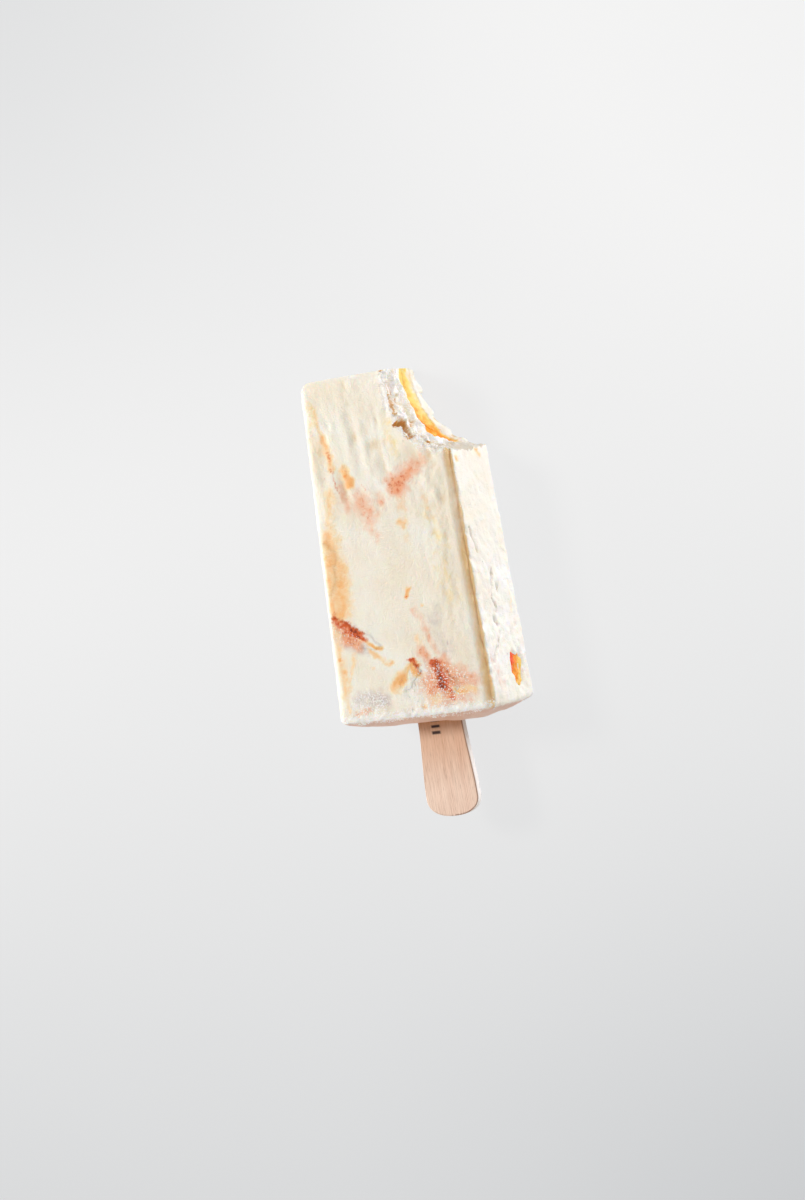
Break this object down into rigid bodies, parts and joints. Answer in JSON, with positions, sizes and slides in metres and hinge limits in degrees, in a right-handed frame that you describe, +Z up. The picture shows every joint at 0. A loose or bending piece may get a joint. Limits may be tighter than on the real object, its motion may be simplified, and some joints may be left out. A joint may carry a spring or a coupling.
{
  "type": "ice lolly",
  "caption": "Creamy rectangular ice lolly with peach pieces, a bite out of one tip corner and a waisted flat wooden stick, lying on its back.",
  "frame": {"origin": "on the surface the lolly lies on, under the middle of its bounding box", "axes": "+X across the block towards the bitten corner, +Y along the lolly from the stick to the tip, +Z up out of the front face"},
  "size_m": [0.052, 0.1288, 0.0258],
  "materials": {
    "frozen_cream": "frosted, slightly translucent",
    "peach_flesh": "wet, translucent",
    "peach_skin": "frosted",
    "stick_wood": "bare, sanded"
  },
  "bodies": {
    "root": {"ice_block": "frozen_cream", "stick": "stick_wood", "peach_flesh_edge": "peach_flesh", "peach_skin_edge": "peach_skin", "peach_wedge_orange": "peach_flesh", "peach_wedge_red": "peach_skin", "peach_chunk_side": "peach_flesh", "peach_slice_bite": "peach_flesh"}
  },
  "joints": []
}
